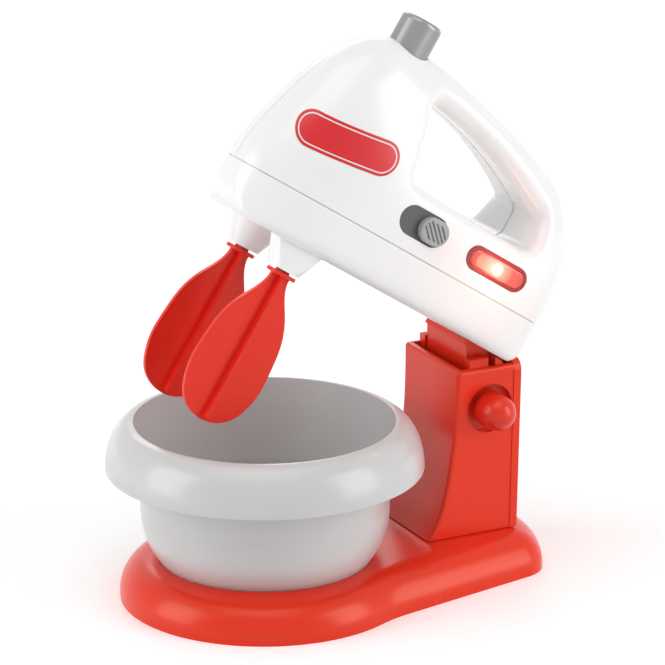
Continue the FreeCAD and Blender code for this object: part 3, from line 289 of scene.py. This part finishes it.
def metal(name, colour, rough):
    """Drawn or plated metal with fine brush lines."""
    material, tree, shader = new_material(name)
    where = place_coordinates(tree)
    stretch = add_node(tree, "ShaderNodeMapping")
    set_inputs(stretch, {"Scale": BRUSH_STRETCH})
    tree.links.new(where, stretch.inputs["Vector"])
    lines = noise(tree, stretch.outputs["Vector"], scale=300.0, detail=4.0, roughness=0.7)
    tones = [(0.25, scaled(colour, 0.88)), (0.75, scaled(colour, 1.08))]
    tree.links.new(ramp(tree, lines, tones), shader.inputs["Base Color"])
    uneven = spread(tree, lines, low=rough * 0.8, high=rough * 1.3)
    tree.links.new(uneven, shader.inputs["Roughness"])
    bump(tree, shader, lines, strength=0.12, depth=FINE_DEPTH)
    set_inputs(shader, {"Metallic": 1.0})
    return material


def lit_lens():
    """Red lens lit from behind: bright where the lamp stands, red towards its ends."""
    material, tree, shader = new_material("lit_lens")
    where = place_coordinates(tree)
    offset = add_node(tree, "ShaderNodeVectorMath", operation="SUBTRACT")
    offset.inputs[1].default_value = head(LENS_U, LENS_FACE_Y, LENS_W)
    tree.links.new(where, offset.inputs[0])
    reach = length_of(tree, offset.outputs["Vector"])
    share = map_range(tree, reach, {"From Max": LENS_REACH})
    glow = ramp(tree, share, LENS_TONES)
    tree.links.new(glow, shader.inputs["Emission Color"])
    # Painted light: the lamp's bright spot is painted into the lens's base colour as well as its glow
    tree.links.new(glow, shader.inputs["Base Color"])
    set_inputs(shader, {
        "Emission Strength": 0.75,
        "Roughness": 0.12,
        "Coat Weight": 0.6,
        "Coat Roughness": 0.04,
    })
    ripple = noise(tree, where, scale=420.0, detail=2.0, roughness=0.5)
    bump(tree, shader, ripple, strength=0.1, depth=0.0003)
    return material


def circuit():
    """Green board with paler tracks under its lacquer."""
    material, tree, shader = new_material("circuit")
    where = place_coordinates(tree)
    cells = add_node(tree, "ShaderNodeTexVoronoi", distance="CHEBYCHEV")
    set_inputs(cells, {"Scale": 260.0})
    tree.links.new(where, cells.inputs["Vector"])
    from_track = cells.outputs["Distance"]
    tree.links.new(ramp(tree, from_track, BOARD_TONES), shader.inputs["Base Color"])
    tree.links.new(spread(tree, from_track, low=0.25, high=0.5), shader.inputs["Roughness"])
    bump(tree, shader, from_track, strength=0.2, depth=0.0001)
    return material


def make_materials():
    made = {name: moulded(name, **look) for name, look in PLASTICS.items()}
    made.update({name: metal(name, **look) for name, look in METALS.items()})
    made["lit_lens"] = lit_lens()
    made["circuit"] = circuit()
    return made


def dress_nodes(materials):
    """Give each CAD node its material, in the slots that it has or in a new one."""
    for name, nodes in LOOKS.items():
        for node in nodes:
            slots = NODES[node].material_slots
            if not slots:
                NODES[node].data.materials.append(materials[name])
            for slot in slots:
                slot.material = materials[name]


# Objects that the scene adds


def add_object(name, data):
    added = bpy.data.objects.new(name, data)
    bpy.context.scene.collection.objects.link(added)
    return added


def surface_tree(node):
    """The node's surface, for casting rays at it."""
    mesh = NODES[node].data
    return BVHTree.FromPolygons([v.co for v in mesh.vertices], [p.vertices for p in mesh.polygons])


def print_axes():
    """The print's own ways: into the shell, along the print and up it."""
    inward = Vector((math.sin(PRINT_TURN), math.cos(PRINT_TURN), 0.0))
    along = (U_WAY - inward * U_WAY.dot(inward)).normalized()
    along.rotate(Quaternion(inward, PRINT_SLOPE))
    return inward, along, along.cross(inward)


def pill_half(along, length, height):
    """Half height of a rounded pill at a place along it."""
    radius = height / 2
    past = abs(along) - (length / 2 - radius)
    return radius if past <= 0 else math.sqrt(max(0.0, radius * radius - past * past))


def pill_grid(build, shell, length, height, lift):
    """Columns of points on a pill, cast on the shell and lifted off it."""
    inward, along_way, up_way = print_axes()
    middle = head(*PRINT_MIDDLE)
    grid = []
    for i in range(PRINT_COLUMNS + 1):
        along = -length / 2 * math.cos(math.pi * i / PRINT_COLUMNS)
        half = pill_half(along, length, height)
        column = []
        for j in range(PRINT_ROWS + 1):
            down = half * (2 * j / PRINT_ROWS - 1)
            start = middle + along_way * along - up_way * down - inward * CAST_DISTANCE
            hit, normal, _, _ = shell.ray_cast(start, inward)
            column.append(build.verts.new(hit + normal * lift))
        grid.append(column)
    return grid


def make_pill(name, material, shell, length, height, lift):
    """A printed pill of a given length and height, laid on the curved shell."""
    build = bmesh.new()
    grid = pill_grid(build, shell, length, height, lift)
    for left, right in zip(grid, grid[1:]):
        for j in range(PRINT_ROWS):
            build.faces.new((left[j], right[j], right[j + 1], left[j + 1])).smooth = True
    bmesh.ops.remove_doubles(build, verts=build.verts, dist=WELD_DISTANCE)
    mesh = bpy.data.meshes.new(name)
    build.to_mesh(mesh)
    build.free()
    pill = add_object(name, mesh)
    pill.data.materials.append(material)
    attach(pill, "mixer")


def make_label():
    """The printed place on the housing's side: a plain red pill, a fine white line and a red middle."""
    red = moulded("label_print", colour=(0.70, 0.012, 0.018), rough=0.30, coat=0.1)
    white = moulded("label_white", colour=(0.86, 0.86, 0.855), rough=0.30, coat=0.1, vary=0.01)
    shell = surface_tree("housing_left")
    layers = [("side_label", red, 0.0), ("label_line", white, LINE_INSET),
              ("label_middle", red, LINE_INSET + LINE_WIDTH)]
    for step, (name, material, inset) in enumerate(layers):
        length = PRINT_LENGTH - 2 * inset
        height = PRINT_HEIGHT - 2 * inset
        make_pill(name, material, shell, length, height, lift=PRINT_LIFT + step * LAYER_STEP)


def make_lamp_glow():
    """The small red light that the lamp throws on the shell around its lens."""
    data = bpy.data.lights.new("lamp_glow", "POINT")
    data.energy = GLOW_POWER
    data.color = GLOW_COLOUR
    data.shadow_soft_size = GLOW_RADIUS
    glow = add_object("lamp_glow", data)
    glow.location = head(LENS_U, GLOW_Y, LENS_W)
    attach(glow, "mixer")


# Studio


def make_floor():
    """Pale paper that keeps the object's shadow and turns white away from it."""
    mesh = bpy.data.meshes.new("floor")
    corners = [(-FLOOR_HALF, -FLOOR_HALF, 0), (FLOOR_HALF, -FLOOR_HALF, 0),
               (FLOOR_HALF, FLOOR_HALF, 0), (-FLOOR_HALF, FLOOR_HALF, 0)]
    mesh.from_pydata(corners, [], [(0, 1, 2, 3)])
    floor = add_object("floor", mesh)
    material, tree, shader = new_material("floor_paper")
    where = place_coordinates(tree)
    tone = ramp(tree, noise(tree, where, scale=3.0), FLOOR_TONES)
    tree.links.new(tone, shader.inputs["Base Color"])
    set_inputs(shader, {
        "Roughness": 0.7,
        "Specular IOR Level": 0.2,
        "Emission Color": (*WHITE, 1.0),
    })
    away = length_of(tree, where)
    fade = map_range(tree, away, {"From Min": FADE_NEAR, "From Max": FADE_FAR, "To Min": NEAR_SHARE})
    glow = joined(tree, "MULTIPLY", background_rays(tree), fade)
    tree.links.new(glow, shader.inputs["Emission Strength"])
    floor.data.materials.append(material)


def look_at(thing, target):
    """Turn a light or camera to a target."""
    way = Vector(target) - Vector(thing.location)
    thing.rotation_euler = way.to_track_quat("-Z", "Y").to_euler()


def make_lights():
    for name, (place, size, power) in LIGHTS.items():
        data = bpy.data.lights.new(name, "AREA")
        data.shape = "RECTANGLE"
        data.size, data.size_y = size
        data.energy = power
        light = add_object(name, data)
        light.location = place
        look_at(light, LIGHTS_AIM)


def make_world():
    """Soft surroundings that light the object, and plain white where the background shows."""
    world = bpy.data.worlds.new("studio")
    world.use_nodes = True
    tree = world.node_tree
    soft = tree.nodes["Background"]
    up = add_node(tree, "ShaderNodeSeparateXYZ")
    tree.links.new(add_node(tree, "ShaderNodeTexCoord").outputs["Generated"], up.inputs["Vector"])
    height = map_range(tree, up.outputs["Z"], {"From Min": SKY_START})
    tree.links.new(ramp(tree, height, SKY_TONES), soft.inputs["Color"])
    white = add_node(tree, "ShaderNodeBackground")
    set_inputs(white, {"Color": (*WHITE, 1.0)})
    choose = add_node(tree, "ShaderNodeMixShader")
    tree.links.new(background_rays(tree), choose.inputs[0])
    tree.links.new(soft.outputs["Background"], choose.inputs[1])
    tree.links.new(white.outputs["Background"], choose.inputs[2])
    tree.links.new(choose.outputs["Shader"], tree.nodes["World Output"].inputs["Surface"])
    bpy.context.scene.world = world


def make_camera():
    data = bpy.data.cameras.new("camera")
    data.sensor_width = SENSOR_WIDTH
    data.lens = FOCAL_PIXELS * SENSOR_WIDTH / FRAME_PIXELS
    data.clip_start = CLIP_NEAR
    data.clip_end = CLIP_FAR
    camera = add_object("camera", data)
    camera.location = CAMERA_PLACE
    look_at(camera, CAMERA_AIM)
    bpy.context.scene.camera = camera


materials = make_materials()
make_camera()
make_world()
make_lights()
make_floor()
dress_nodes(materials)
make_label()
make_lamp_glow()
bpy.context.scene.view_settings.view_transform = "Standard"
